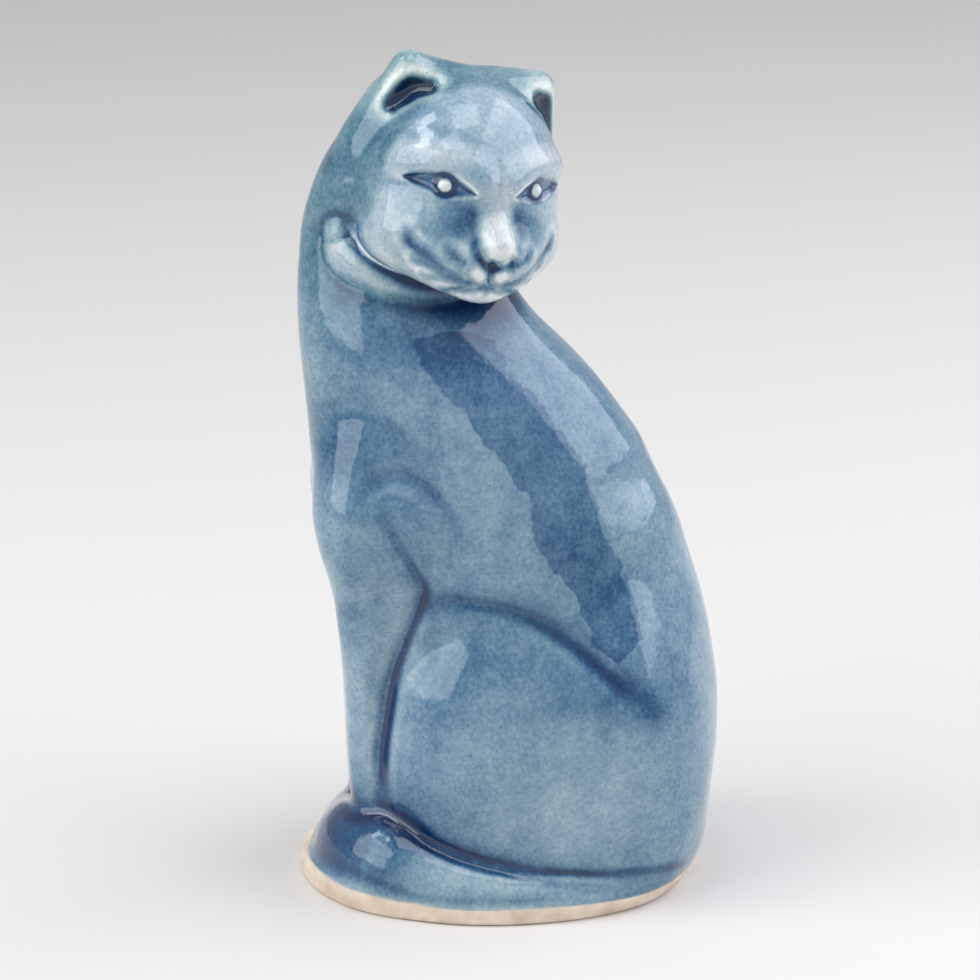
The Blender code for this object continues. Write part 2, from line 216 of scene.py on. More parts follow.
# Creases on the flank, as (y, z) seen square on from the side.
ELBOW_CREASE = ((-24.4, 77.5), (-22.4, 73.5), (-20.0, 68.6), (-17.3, 63.2), (-17.6, 59.5), (-20.2, 52.4),
                (-22.6, 44.6),
                (-23.9, 36.7), (-24.9, 28.7), (-25.1, 20))
SHOULDER_CREASE = ((-29.5, 79.5), (-26.6, 82.4), (-23.9, 84), (-20.3, 84.2), (-15.7, 81.5), (-11.2, 76),
                   (-9.2, 71.5))
THIGH_CREASE = ((-18.6, 57.5), (-16.1, 59.6), (-10.6, 60.6), (-3.3, 59.8), (2.2, 58), (7.7, 55), (13.3, 50.7),
                (17.6, 46.8), (21.4, 43.6), (25.0, 39.6))
# Each crease with its width, its depth and how much of its length fades out at each end.
FLANK_CREASES = ((ELBOW_CREASE, 1.3, .55, .12), (SHOULDER_CREASE, 1.7, .38, .3), (THIGH_CREASE, 2.0, .85, .3))
# The roll of the throat under the jaw, on the near side.
THROAT = ((5.4, -31.0, 126.6, 2.2), (5.6, -30.2, 125.0, 3.2), (6.6, -28.8, 122.8, 3.8),
          (8.0, -26.2, 120.8, 4.1),
          (9.2, -22.0, 119.0, 4.2), (9.6, -17.6, 118.0, 4.0), (9.0, -12.6, 118.0, 3.6))


def torso_field(p):
    return section_field(p, TORSO)


def haunch_field(p):
    return ellipsoid(mirrored(p), HAUNCH_CENTRE, HAUNCH_RADII)


def leg_field(p):
    return section_field(mirrored(p), LEG)


def belly_field(p):
    return tube(mirrored(p), BELLY)


def shoulder_field(p):
    return ellipsoid(mirrored(p), SHOULDER_CENTRE, SHOULDER_RADII)


def tail_field(p):
    return tube(p, TAIL)


def foot_field(p):
    """The oval foot, before its bore is cut."""
    q = np.column_stack([p[:, 0] / FOOT_HALF_WIDTH, (p[:, 1] - FOOT_CENTRE_Y) / FOOT_HALF_LENGTH])
    near = np.linalg.norm(q, axis=1) + 1e-9
    slope = np.linalg.norm(q / np.array([FOOT_HALF_WIDTH, FOOT_HALF_LENGTH]), axis=1) / near
    side = (near - 1.0) / np.maximum(slope, 1e-6)
    return smax(smax(side, p[:, 2] - FOOT_TOP - 0.5, 1.6), -p[:, 2], 1.2)


def bore_field(p):
    """The opening through the foot, up to the foot's top."""
    half_width, half_length = FOOT_HALF_WIDTH - FOOT_RIM, FOOT_HALF_LENGTH - FOOT_RIM
    q = np.column_stack([p[:, 0] / half_width, (p[:, 1] - FOOT_CENTRE_Y) / half_length])
    side = (np.linalg.norm(q, axis=1) - 1.0) * half_width
    return np.maximum(side, p[:, 2] - FOOT_TOP)


def over_bore(p):
    """The skin that would close the top of the bore: the hollow is open from below."""
    below = np.column_stack([p[:, :2], np.full(len(p), FOOT_TOP - 1)])
    return (bore_field(below) < -.5) & (np.abs(p[:, 2] - FOOT_TOP) < .4)


def where_near(p, chosen, field):
    """The field where it is wanted, and a far value elsewhere."""
    found = np.full(len(p), FAR)
    if chosen.any():
        found[chosen] = field(p[chosen])
    return found


def body_field(p):
    """The torso, limbs, tail and foot together, and the fields that name their joins."""
    z = p[:, 2]
    torso = torso_field(p)
    side = np.abs(p[:, 0])
    haunch = where_near(p, z < 75, haunch_field)
    blend = 2.2 + 9.0 * fade(p[:, 1], 8, 26) + 6.0 * fade(30 - z, 4, 24) * fade(p[:, 1], -6, 14)
    d = smin(torso, haunch, blend)
    d = smin(d, where_near(p, z < 88, belly_field), 4.0)
    leg = where_near(p, z < 112, leg_field)
    d = smin(d, leg, 4.6 + 3.4 * fade(z, 64, 80) - 5.0 * fade(z, 86, 99))
    d = smin(d, where_near(p, (z > 50) & (z < 100), shoulder_field), 3.0 + 5.0 * fade(-p[:, 1], 22, 34))
    near = (z > 12) & (z < 92) & (side > 4) & (np.abs(d) < 6)
    if near.any():
        sink = sum(dent(p[near, 1:], *crease) for crease in FLANK_CREASES)
        d[near] += sink * fade(side[near], 5, 11)
    tail = where_near(p, z < 34, tail_field)
    d = smin(d, tail, 1.8)
    d = smin(d, where_near(p, z < 14, foot_field), 1.6 + 3.4 * fade(-p[:, 1], 16, 32))
    return d, {"tail": tail, "leg": leg, "haunch": haunch, "torso": torso}


# ---------------------------------------------------------------- the head, in its own frame

HEAD_CENTRE = np.array([3.0, -9.5, 135.4])
HEAD_TURN = turn(2, 107.0) @ turn(1, 7.5) @ turn(0, 4.0)
SKULL_RADII = np.array([18.2, 19.0, 20.0])
EYE_AT = np.array([8.8, -16.0, 3.1])
EYE_RADIUS = 2.75
EYE_RING, EYE_SINK, PUPIL_RADII = 2.9, .75, (1.15, 1.0, 1.0)
NOSE = ((0, -17.2, 3.6, 1.7), (.5, -18.9, -1.5, 2.0), (1.2, -21.3, -6.0, 2.6))
EYE_INNER, EYE_OUTER = (3.7, 2.2), (14.8, 3.0)


def head_local(p):
    """Points in the head's frame: x to the cat's left, y out of the back of the head, z up."""
    return (p - HEAD_CENTRE) @ HEAD_TURN


def on_skull(q):
    """Points moved along their own radius onto the skull's oval."""
    return q / np.maximum(np.linalg.norm(q / SKULL_RADII, axis=-1, keepdims=True), 1e-6)


def plate(p, a, b, c):
    """Distance to a flat triangle."""
    a, b, c = (np.array(v, float) for v in (a, b, c))
    normal = np.cross(b - a, a - c)
    inside = np.ones(len(p), bool)
    edges = np.full(len(p), np.inf)
    for start, end in ((a, b), (b, c), (c, a)):
        side, to = end - start, p - start
        inside &= to @ np.cross(side, normal) >= 0
        t = np.clip(to @ side / (side @ side), 0.0, 1.0)
        edges = np.minimum(edges, np.linalg.norm(to - t[:, None] * side, axis=1))
    flat = np.abs((p - a) @ normal) / np.linalg.norm(normal)
    return np.where(inside, flat, edges)


# Outer foot, inner foot and tip of each ear: the cat's right one stands a little higher.
RIGHT_EAR = ((16.4, 6.4, 5.6), (5.2, 2.9, 16.6), (11.6, 2.7, 19.9))
LEFT_EAR = ((16.2, 5.8, 5.0), (6.0, 2.9, 16.4), (13.6, 1.9, 18.0))
EAR_THICKNESS = 5.9
RIGHT_HOLLOW = ((14.7, .0, 13.6, .3), (13.1, -.4, 15.4, .9), (11.4, -1.0, 16.7, 1.0), (9.2, -2.6, 17.3, .3))
LEFT_HOLLOW = ((16.3, -.4, 11.0, .4), (15.2, -.6, 13.6, .9), (14.0, -1.0, 15.2, .9), (12.4, -2.0, 16.2, .3))


def ear_field(q):
    """Both ears as thick round-edged triangles."""
    s = mirrored(q)
    return np.where(q[:, 0] < 0, plate(s, *RIGHT_EAR), plate(s, *LEFT_EAR)) - EAR_THICKNESS / 2


def ear_hollow(q):
    """What is scooped out of the front of both ears."""
    s = mirrored(q)
    return np.where(q[:, 0] < 0, tube(s, RIGHT_HOLLOW), tube(s, LEFT_HOLLOW))


def eye_outline(s, c):
    """How far inside the almond between the lids a point lies, seen from the front."""
    t = np.clip((s - EYE_INNER[0]) / (EYE_OUTER[0] - EYE_INNER[0]), -.2, 1.2)
    line = EYE_INNER[1] + (EYE_OUTER[1] - EYE_INNER[1]) * t
    bow = np.maximum(4 * t * (1 - t), -.5)
    upper = line + 2.6 * np.sign(bow) * np.abs(bow) ** .9
    lower = line - 1.35 * np.sign(bow) * np.abs(bow) ** .8
    return np.minimum(upper - c, c - lower)


def head_field(q):
    """The head without its ears, eyes and drawn lines."""
    s = mirrored(q)
    d = ellipsoid(q, (0, 0, 0), SKULL_RADII)
    # jaw and cheeks, cut to a crisp edge underneath
    jaw = ellipsoid(s, (3.5, -3.5, -7.0), (14.2, 15.5, 12.0))
    jaw = smin(jaw, tube(s, ((11, -7, -8.5, 6.0), (13.4, -2.5, -9.8, 4.4), (15.0, 0.8, -10.4, 2.8))), 4.0)
    muzzle = ellipsoid(s, (2.8, -14.2, -10.6), (7.6, 7.8, 6.4))
    chin = ellipsoid(q, (0, -15.6, -14.2), (5.2, 5.4, 4.6))
    d = smin(d, jaw, 2.5)
    d = smin(d, muzzle, 4.5)
    d = smin(d, chin, 2.0)
    nose = tube(q, NOSE)
    d = smin(d, nose, 2.8)
    brow = tube(s, ((3.0, -16.9, 4.6, 1.9), (6.2, -14.9, 6.5, 1.2), (10, -12.5, 7.0, 1.1),
    (14.0, -8.4, 5.6, 1.0)))
    d = smin(d, brow, 4.5)
    d = smin(d, tube(s, ((0, 2.2, 15.6, 4.6), (8, 2.6, 15.0, 4.4))), 4.0)
    cut = (q[:, 2] + 12.9) - 0.232 * (q[:, 1] - 1.25)
    d = smax(d, -(cut + 0.4), 2.0)
    return d


def head_detail(q, d):
    """Eyes and the drawn lines of the face, on the skin of the head."""
    s = mirrored(q)
    front = (q[:, 1] < -3) & (np.abs(d) < 5)
    if front.any():
        f, skin = s[front], d[front]
        skin = skin + EYE_SINK * fade(eye_outline(f[:, 0], f[:, 2]), -0.7, 1.3)
        ball = np.linalg.norm(f - EYE_DEEP, axis=1) - EYE_RADIUS
        skin = smin(skin, ball, .6)
        skin = smin(skin, ellipsoid(f, EYE_PUPIL, PUPIL_RADII), .3)
        for lines, side in ((PAIRED_LINES, s), (MIDDLE_LINES, q)):
            oval = on_skull(side[front])
            for points, width, depth in lines:
                skin = skin + dent(oval, on_skull(np.array(points, float)), width, depth, .2)
        d = d.copy()
        d[front] = skin
    return d


EYE_NORMAL = (EYE_AT / SKULL_RADII ** 2) / np.linalg.norm(EYE_AT / SKULL_RADII ** 2)
EYE_SURFACE = on_skull(EYE_AT[None])[0]
EYE_DEEP = EYE_SURFACE - EYE_NORMAL * 2.75
EYE_PUPIL = EYE_SURFACE - EYE_NORMAL * 0.55
# Drawn lines of the face: points, width and depth.
# The first group is on both sides, the second only where it lies.
PAIRED_LINES = (
    (((14.1, -14.2, -6.2), (13.4, -14.9, -7.9), (11.9, -16.5, -9.4), (9.5, -19, -10.6), (6.8, -20.7, -11.5),
      (4.2, -21.6, -11.8)), .95, .42),
    (((12.4, -15.4, -11.0), (9.4, -18.3, -12.2), (6.2, -20.6, -12.9), (3.6, -21.4, -12.7)), .70, .34),
    (((10.2, -16.1, -13.3), (7.6, -19.2, -13.9), (4.6, -20.8, -14.0), (2.4, -21.6, -13.2)), .65, .38),
    (((6.6, -18.0, -15.6), (4.4, -19.8, -15.4), (2.4, -21.0, -14.7), (0, -21.4, -13.6)), .80, .62),
    (((7.9, -20.2, -8.2), (6.4, -21.2, -9.0), (4.4, -21.9, -9.9)), .80, .24),
)
MIDDLE_LINES = (
    (((-3.0, -21.5, -6.8), (-1.6, -21.7, -9.0), (.8, -22.0, -9.9), (3.0, -22.0, -9.0),
    (4.4, -21.8, -7.2)), 1.0, .32),
    (((.7, -22, -9.3), (.4, -21.8, -11.2), (.1, -21.4, -13.8)), .80, .32),
)


# ---------------------------------------------------------------- the whole figure

HEAD_FROM = 98.0


def ripple(p):
    """The slight unevenness of a hand-finished, dipped surface."""
    x, y, z = p[:, 0], p[:, 1], p[:, 2]
    slow = np.sin(.21 * x + .13 * z + 1.3) * np.sin(.17 * y - .11 * z + .4)
    slow += np.sin(.19 * z + .12 * y + 2.1) * .6
    quick = np.sin(.62 * y + .45 * z + .7) * np.sin(.51 * x - .58 * z + 1.9)
    return .10 * slow + .016 * quick


def figure(p, parts=False):
    """Distance to the outside of the cat, in millimetres; with parts, also the fields that name the joins."""
    d, found = body_field(p)
    upper = p[:, 2] > HEAD_FROM
    head = np.full(len(p), FAR)
    ear = np.full(len(p), FAR)
    if upper.any():
        q = head_local(p[upper])
        h = head_field(q)
        neck = d[upper]
        e = ear_field(q)
        head[upper], ear[upper] = h, e
        neck = smin(neck, tube(p[upper], THROAT), 2.2)
        joined = smin(neck, h, 1.4 + 3.0 * fade(p[upper, 2], 127, 133))
        joined = smin(joined, e, 5.0)
        joined = smax(joined, -ear_hollow(q), 2.6)
        joined = head_detail(q, joined)
        d = d.copy()
        d[upper] = joined
    d = d + ripple(p) * fade(p[:, 2], 2, 8)
    d = np.maximum(d, -bore_field(p))
    d = smax(d, -p[:, 2], .3)
    if parts:
        found.update(head=head, ear=ear)
        return d, found
    return d


TETRA = np.array([[1, -1, -1], [-1, -1, 1], [-1, 1, -1], [1, 1, 1]], float)


def gradient(field, p, step=0.12):
    """The field's value and direction at each point."""
    values = [field(p + corner * step) for corner in TETRA]
    slope = sum(v[:, None] * corner for v, corner in zip(values, TETRA)) / (4 * step)
    return sum(values) / 4, slope


def project(field, p, rounds=2, most=0.6):
    """Points moved onto the surface, by no more than this in each round."""
    for _ in range(rounds):
        value, slope = gradient(field, p)
        size = (slope ** 2).sum(1)
        move = -value[:, None] * slope / np.maximum(size, .05)[:, None]
        length = np.linalg.norm(move, axis=1, keepdims=True)
        p = p + move * np.minimum(1.0, most / np.maximum(length, 1e-9))
    return p


def in_chunks(field, p, size=200000):
    """The field at many points, with a limit on the memory it takes."""
    return np.concatenate([field(p[i:i + size]) for i in range(0, len(p), size)])


# ---------------------------------------------------------------- meshing

STEPS = ((3.0, 1.0, 0.5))
LOW = np.array([-33.0, -42.0, -1.0]) + .013
HIGH = np.array([33.0, 42.0, 163.0])
EIGHT = [(i, j, k) for i in (0, 1) for j in (0, 1) for k in (0, 1)]


def sampled(field, low, high, steps):
    """The field on a fine grid, worked out only near the surface: each step divides the one before it."""
    cells = np.ceil((np.array(high) - np.array(low)) / steps[0]).astype(int)
    axes = [low[i] + np.arange(cells[i] + 1) * steps[0] for i in range(3)]
    grid = in_chunks(field, np.stack(np.meshgrid(*axes, indexing="ij"), -1).reshape(-1, 3)).reshape(cells + 1)
    for coarse, fine in zip(steps[:-1], steps[1:]):
        ratio = round(coarse / fine)
        near = np.abs(grid) < coarse * 1.5
        cell = np.zeros(np.array(grid.shape) - 1, bool)
        for i, j, k in EIGHT:
            cell |= near[i:grid.shape[0] - 1 + i, j:grid.shape[1] - 1 + j, k:grid.shape[2] - 1 + k]
        for axis in range(3):
            cell = np.repeat(cell, ratio, axis)
            grid = np.repeat(grid, ratio, axis)
        grid = grid[:cell.shape[0] + 1, :cell.shape[1] + 1, :cell.shape[2] + 1]
        wanted = np.zeros(grid.shape, bool)
        for i, j, k in EIGHT:
            wanted[i:i + cell.shape[0], j:j + cell.shape[1], k:k + cell.shape[2]] |= cell
        index = np.argwhere(wanted)
        grid = grid.copy()
        grid[wanted] = in_chunks(field, np.array(low) + index * fine)
    return grid


def surface_net(grid, low, step):
    """Quads through the cells where the field changes sign."""
    inside = grid < 0
    shape = np.array(grid.shape) - 1
    count = np.zeros(shape, np.int8)
    for i, j, k in EIGHT:
        count += inside[i:shape[0] + i, j:shape[1] + j, k:shape[2] + k]
    crossed = (count > 0) & (count < 8)
    cells = np.argwhere(crossed)
    number = np.full(shape, -1, np.int64)
    number[crossed] = np.arange(len(cells))
    total, hits = np.zeros((len(cells), 3)), np.zeros(len(cells))
    for a in EIGHT:
        for axis in range(3):
            if a[axis]:
                continue
            b = list(a)
            b[axis] = 1
            va = grid[tuple((cells + a).T)]
            vb = grid[tuple((cells + b).T)]
            cut = (va < 0) != (vb < 0)
            t = np.where(cut, va / np.where(cut, va - vb, 1.0), 0.0)
            at = np.array(a, float) + np.eye(3)[axis] * t[:, None]
            total += at * cut[:, None]
            hits += cut
    points = np.array(low) + (cells + total / hits[:, None]) * step
    quads = []
    for axis in range(3):
        one, two = (axis + 1) % 3, (axis + 2) % 3
        first = [slice(None)] * 3
        second = [slice(None)] * 3
        first[axis], second[axis] = slice(0, -1), slice(1, None)
        a, b = inside[tuple(first)], inside[tuple(second)]
        for solid_first in (True, False):
            edge = np.argwhere((a & ~b) if solid_first else (~a & b))
            edge = edge[(edge[:, one] > 0) & (edge[:, two] > 0)
                        & (edge[:, one] < shape[one]) & (edge[:, two] < shape[two])]
            ring = []
            for du, dv in ((-1, -1), (0, -1), (0, 0), (-1, 0)):
                at = edge.copy()
                at[:, one] += du
                at[:, two] += dv
                ring.append(number[tuple(at.T)])
            ring = np.column_stack(ring)
            quads.append(ring if solid_first else ring[:, ::-1])
    return points, np.concatenate(quads)


def relaxed(points, quads):
    """Each point moved halfway to the middle of its neighbours."""
    a = np.concatenate([quads[:, i] for i in range(4)])
    b = np.concatenate([quads[:, (i + 1) % 4] for i in range(4)])
    a, b = np.concatenate([a, b]), np.concatenate([b, a])
    count = np.bincount(a, minlength=len(points))
    total = np.column_stack([np.bincount(a, points[b, i], len(points)) for i in range(3)])
    middle = total / np.maximum(count, 1)[:, None]
    return (points + middle) / 2


def subdivided(points, quads):
    """Every quad in four; returns the points, quads and which new points lie on the open border."""
    ends = np.sort(np.concatenate([quads[:, [i, (i + 1) % 4]] for i in range(4)]), axis=1)
    edges, index, count = np.unique(ends, axis=0, return_inverse=True, return_counts=True)
    index = index.reshape(4, -1) + len(points)
    middles = points[edges].mean(1)
    centres = points[quads].mean(1)
    centre = np.arange(len(quads)) + len(points) + len(edges)
    finer = [np.column_stack([quads[:, i], index[i], centre, index[(i + 3) % 4]]) for i in range(4)]
    border = np.zeros(len(points) + len(edges) + len(quads), bool)
    border[len(points):len(points) + len(edges)] = count == 1
    border[edges[count == 1].reshape(-1)] = True
    return np.concatenate([points, middles, centres]), np.concatenate(finer), border


def compact(quads):
    """The points that these faces use, and the faces counted on them."""
    used, index = np.unique(quads, return_inverse=True)
    return used, index.reshape(quads.shape)


# ---------------------------------------------------------------- cutting the figure along the parts' joins

NECK_SEAM = 116.15
PARTS = ("foot_ring", "body_casting", "head_casting", "tail", "left_foreleg", "right_foreleg", "left_ear",
         "right_ear",
         "left_eye", "right_eye")
LOWER_PARTS = ("foot_ring", "body_casting", "tail", "left_foreleg", "right_foreleg")
HEAD_PARTS = ("head_casting", "left_ear", "right_ear", "left_eye", "right_eye")
WALL, THIN_WALL = 1.2, .7
THIN_PARTS = HEAD_PARTS[1:]
LEG_TOP, TAIL_TOP = 84, 19
# An island of skin smaller than this, in square millimetres, goes to the piece round it.
ISLAND = 40


def part_of(p):
    """The number of the part that each point of the skin belongs to."""
    found = np.full(len(p), PARTS.index("body_casting"))
    _, fields = figure(p, parts=True)
    left = p[:, 0] > 0
    leg = fields["leg"] < np.minimum(fields["torso"], fields["haunch"])
    leg &= (p[:, 2] < LEG_TOP) & (p[:, 1] < -14)
    found[leg & left] = PARTS.index("left_foreleg")
    found[leg & ~left] = PARTS.index("right_foreleg")
    tail = fields["tail"] < np.minimum(np.minimum(fields["torso"], fields["haunch"]), fields["leg"])
    found[tail & (p[:, 2] < TAIL_TOP)] = PARTS.index("tail")
    found[p[:, 2] < FOOT_TOP] = PARTS.index("foot_ring")
    upper = p[:, 2] > NECK_SEAM
    found[upper] = PARTS.index("head_casting")
    q = head_local(p)
    ear = upper & (fields["ear"] < fields["head"]) & (q[:, 2] > 9)
    found[ear & (q[:, 0] > 0)] = PARTS.index("left_ear")
    found[ear & (q[:, 0] < 0)] = PARTS.index("right_ear")
    ball = np.linalg.norm(mirrored(q) - EYE_SURFACE, axis=1) < EYE_RING
    found[ball & (q[:, 0] > 0)] = PARTS.index("left_eye")
    found[ball & (q[:, 0] < 0)] = PARTS.index("right_eye")
    return found


def borders(quads):
    """The open edges, in the direction their face runs them."""
    ends = np.concatenate([quads[:, [i, (i + 1) % 4]] for i in range(4)])
    _, index, count = np.unique(np.sort(ends, axis=1), axis=0, return_inverse=True, return_counts=True)
    return ends[count[index.reshape(-1)] == 1]


def shell(points, normals, quads, wall):
    """The skin, an inner skin one wall in, and a strip that joins them along every open edge."""
    n = len(points)
    rim = borders(quads)
    inner = points - normals * wall
    strip = np.column_stack([rim[:, 1], rim[:, 0], rim[:, 0] + n, rim[:, 1] + n])
    faces = np.concatenate([quads, quads[:, ::-1] + n, strip])
    return np.concatenate([points, inner]), np.concatenate([normals, -normals]), faces


def touching(quads):
    """Pairs of faces that share an edge."""
    ends = np.sort(np.stack([quads, np.roll(quads, -1, 1)], 2).reshape(-1, 2), 1)
    key = ends[:, 0].astype(np.int64) * (quads.max() + 1) + ends[:, 1]
    order = np.argsort(key, kind="stable")
    same = key[order][1:] == key[order][:-1]
    return order[:-1][same] // 4, order[1:][same] // 4


def settled(label, quads):
    """The labels, with each small island given to the piece round it."""
    a, b = touching(quads)
    same = label[a] == label[b]
    root = np.arange(len(quads))
    while True:
        low = np.minimum(root[a[same]], root[b[same]])
        new = root.copy()
        np.minimum.at(new, a[same], low)
        np.minimum.at(new, b[same], low)
        new = new[new]
        if (new == root).all():
            break
        root = new
    small = np.bincount(root, minlength=len(quads))[root] < ISLAND / STEPS[-1] ** 2
    given = np.full(len(quads), -1)
    for one, other in ((a, b), (b, a)):
        edge = small[one] & ~small[other]
        given[root[one[edge]]] = label[other[edge]]
    return np.where(small & (given[root] >= 0), given[root], label)


# ---------------------------------------------------------------- how the glaze lies

def blob(p, centre, radii):
    """1 at the centre, and nothing some way outside the radii."""
    q = (p - np.array(centre)) / np.array(radii)
    return np.exp(-(q ** 2).sum(1))


# Where the glaze ran thick or thin, with one painted reflection among the body ones: centre, radii, amount.
# The face ones are in the head's frame, on both sides.
FACE_TONES = (
    ((6.0, -18.5, -3.6), (3.8, 5, 3.8), .30), ((10.6, -17.5, -8.6), (3.4, 4, 2.6), .20),
    ((2.6, -18.8, 6.6), (3.0, 4, 2.4), .15), ((8.8, -14, 8.4), (6, 6, 1.6), -.12),
    ((0, -21.8, -11.2), (2.2, 3, 2.6), .24), ((0, -20.6, -15.6), (3.4, 3, 1.3), .12),
    ((15.6, -9, -4), (3, 5, 7), -.10), ((12, -9, -12.4), (7, 6, 1.6), -.16),
)
# These are on both sides too, apart from the one whose centre lies on the right. The faint pale patch on the
# throat under the jaw, at (9, -27, 121), is a painted reflection of the sky.
BODY_TONES = (
    ((11, -31, 12), (17, 15, 10), .36), ((27, -2, 3), (5, 26, 5), .24), ((-10, -30, 8), (18, 12, 9), .30),
    ((22, 6, 22), (20, 18, 12), -.05), ((0, -36, 96), (16, 8, 22), .08), ((18, -20, 108), (14, 11, 6), .14),
    ((24, 13, 43), (14, 10, 6), .13), ((9, -27, 121), (7, 10, 4), -.03), ((12, -24, 60), (16, 8, 10), -.06),
)
# Creases on the flank with the width and the strength of the darker glaze along them.
CREASE_TONES = ((ELBOW_CREASE, 1.8, .12), (THIGH_CREASE[1:], 2.8, .20), (SHOULDER_CREASE, 1.6, .05))
# A dark run down each flank, as (y, z), and its width: partly a thick run of glaze, partly a painted
# reflection of the dark surroundings.
DARK_RUN_AND_REFLECTION = ((-12, 109), (-9, 105), (-4, 98), (2, 91), (7, 82), (12, 70), (18, 56))
RUN_AND_REFLECTION_WIDTH = 7.0
# The size of each look at the surface, in millimetres, and how much a hollow darkens
# and an edge pales the glaze.
REACHES = (("fine", .7, .7, .7), ("middle", 2.2, .7, .5), ("broad", 6.0, .5, .35))


def near_line(p, points, width):
    """1 on the line, and nothing some way beyond its width."""
    d, _ = along(p, smooth_line(points))
    return np.exp(-(d / width) ** 2)


def face_mask(q):
    """1 on the pale face in front of the cheeks, in the head's frame."""
    border = -5.8 + 9.0 * fade(-q[:, 2], 4, 12)
    return fade(border - q[:, 1], -1.5, 2.0) * fade(q[:, 2] + 18.5 - .2 * q[:, 1], 0, 1.5)


def feature_tone(q):
    """The tone of the nose, the ears, the eyes and the drawn lines."""
    s = mirrored(q)
    tone = -.13 * fade(.9 - tube(q, NOSE), 0, 1.1)
    hollow = ear_hollow(q)
    rim = np.exp(-((hollow - 2.6) / 1.2) ** 2) * fade(q[:, 2], 6, 10)
    tone += .06 * fade(1.3 - hollow, 0, 2.0) - .22 * rim
    iris = fade(EYE_RING - np.linalg.norm(s - EYE_SURFACE, axis=1), 0, .9)
    # The pupil is painted near white: pale glaze thin over the raised dot, and partly a painted highlight.
    pupil_and_glint = fade(1.45 - np.linalg.norm(s - EYE_PUPIL, axis=1), 0, .3)
    lids = fade(eye_outline(s[:, 0], s[:, 2]), -.5, .4) * (s[:, 1] < -4)
    tone += np.maximum(.20 * lids, .55 * iris) - .95 * pupil_and_glint
    front = s[:, 1] < -8
    for lines, side in ((PAIRED_LINES, s), (MIDDLE_LINES, q)):
        oval = on_skull(side[front])
        for points, width, _ in lines:
            away = along(oval, smooth_line(on_skull(np.array(points, float))))[0] / width
            tone[front] += .26 * np.exp(-away ** 2) - .12 * np.exp(-((away - 2.0) / .8) ** 2)
    return tone


def painted(p):
    """The tone (above nought is thicker glaze; the pupils' white is partly a painted highlight and the
    throat's pale patch a painted reflection), how green it is, and the dark run down the flanks, partly
    thicker glaze and partly a painted reflection.
    """
    q = head_local(p)
    flank = mirrored(p)
    mask = face_mask(q)
    head = fade(p[:, 2], 112, 118)
    tone = -.12 * mask * head + .06 * (1 - mask) * head
    for centre, radii, amount in FACE_TONES:
        tone += amount * blob(mirrored(q), centre, radii) * head
    upper = p[:, 2] > 104
    if upper.any():
        tone[upper] += feature_tone(q[upper])
    for centre, radii, amount in BODY_TONES:
        tone += amount * blob(p if centre[0] < 0 else flank, centre, radii)
    side = (flank[:, 0] > 5) & (p[:, 2] < 96)
    if side.any():
        for crease, width, amount in CREASE_TONES:
            tone[side] += amount * near_line(p[side, 1:], crease, width)
    low = p[:, 2] < 18
    if low.any():
        foot = p[low]
        join = np.abs(tail_field(foot) - smin(torso_field(foot), haunch_field(foot), 3.0))
        tone[low] += .30 * fade(1.5 - join, 0, 1.5) * fade(foot[:, 2], 5, 7)
    teal = (1 - mask) * head * .9 + .5 * blob(p, (0, -38, 100), (30, 7, 30))
    teal = np.clip(teal + .25 * blob(flank, (24, 10, 30), (20, 20, 26)), 0, 1)
    # The dark run down the flanks: partly thicker glaze, partly a painted reflection of the dark
    # surroundings.
    band = near_line(p[:, 1:], DARK_RUN_AND_REFLECTION, RUN_AND_REFLECTION_WIDTH) * fade(flank[:, 0], 5, 12) * fade(112.5 - p[:, 2], 0, 4)
    return tone, teal, band


def glaze_line(p):
    """The height where the glaze stops: wavy, and higher in front, where more of the foot is bare."""
    wave = .25 * np.sin(.21 * p[:, 0] + .7) * np.sin(.17 * p[:, 1])
    return FOOT_TOP + 1.5 * fade(-p[:, 1], 8, 38) + wave


def glaze_measures(p, n):
    """Where glaze pools and where it breaks over an edge, at three sizes."""
    found = {}
    for name, reach, _, _ in REACHES:
        found["pool_" + name] = np.clip(1.0 - in_chunks(figure, p + n * reach) / reach, -1, 1)
        found["edge_" + name] = np.clip(1.0 + in_chunks(figure, p - n * reach) / reach, -1, 1)
    found["tone"], found["teal"], found["band"] = painted(p)
    found["bare"] = fade(glaze_line(p) - p[:, 2], -.25, .25)
    return found


# ---------------------------------------------------------------- the pieces

def make_mesh(name, points, normals, faces, skin_faces, measures):
    """One piece, glazed outside and bare clay inside, with what its glaze needs to know at each point."""
    mesh = bpy.data.meshes.new(name)
    mesh.from_pydata((points * MM).tolist(), [], faces.tolist())
    mesh.polygons.foreach_set("use_smooth", np.ones(len(faces), bool))
    mesh.polygons.foreach_set("material_index", (np.arange(len(faces)) >= skin_faces).astype(np.int32))
    for key, values in measures.items():
        attribute = mesh.attributes.new(key, "FLOAT", "POINT")
        attribute.data.foreach_set("value", np.concatenate([values, values]).astype(np.float32))
    mesh.update()
    mesh.normals_split_custom_set_from_vertices(normals.tolist())
    obj = bpy.data.objects.new(name, mesh)
    bpy.context.scene.collection.objects.link(obj)
    return obj


def numbers(names):
    return [PARTS.index(name) for name in names]


